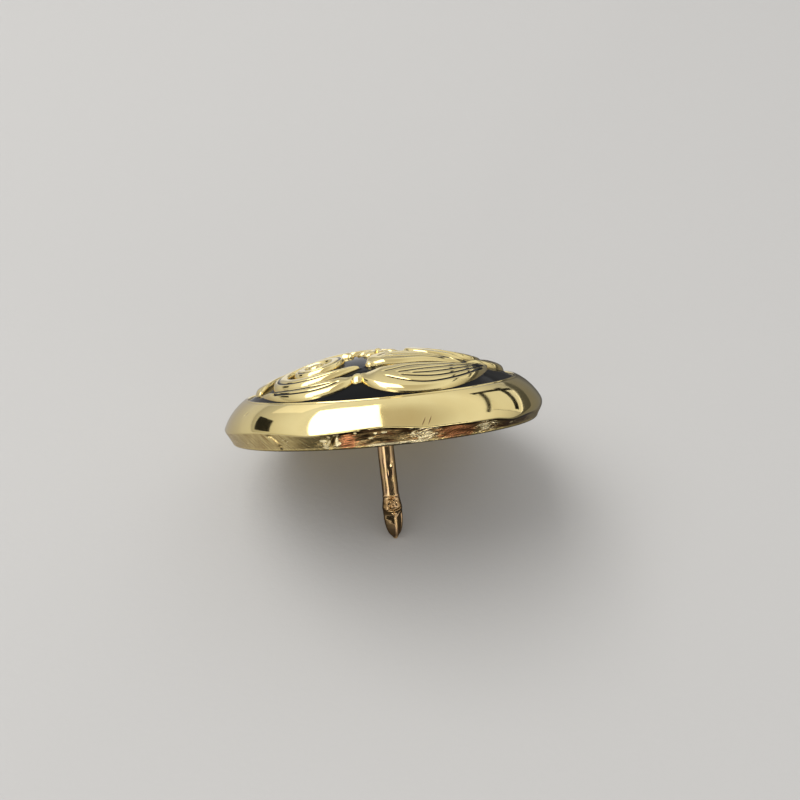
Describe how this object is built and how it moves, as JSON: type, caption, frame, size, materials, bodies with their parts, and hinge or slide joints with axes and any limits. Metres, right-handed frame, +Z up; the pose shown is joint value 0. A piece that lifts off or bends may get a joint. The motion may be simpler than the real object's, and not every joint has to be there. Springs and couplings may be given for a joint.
{
  "type": "lapel pin",
  "caption": "Round domed lapel pin with a polished bevelled rim, raised leaf scrolls in black enamel and a notched, pointed post soldered in its hollow back.",
  "frame": {"origin": "middle of the bottom of the pin's box, on the table that it lies on", "axes": "+Z up from the table; X along the disc's full width; the face leans towards +Y and up, and the post runs down towards -Y, so that the back edge rests on the table at +Y and the tip of the post at -Y"},
  "size_m": [0.024, 0.0194, 0.0155],
  "materials": {
    "gold_plate": "polished gold plating on struck brass, the lower band left with file marks",
    "black_enamel": "glossy black enamel"
  },
  "bodies": {
    "root": {"struck_disc": "gold_plate", "enamel": "black_enamel"}
  },
  "joints": []
}
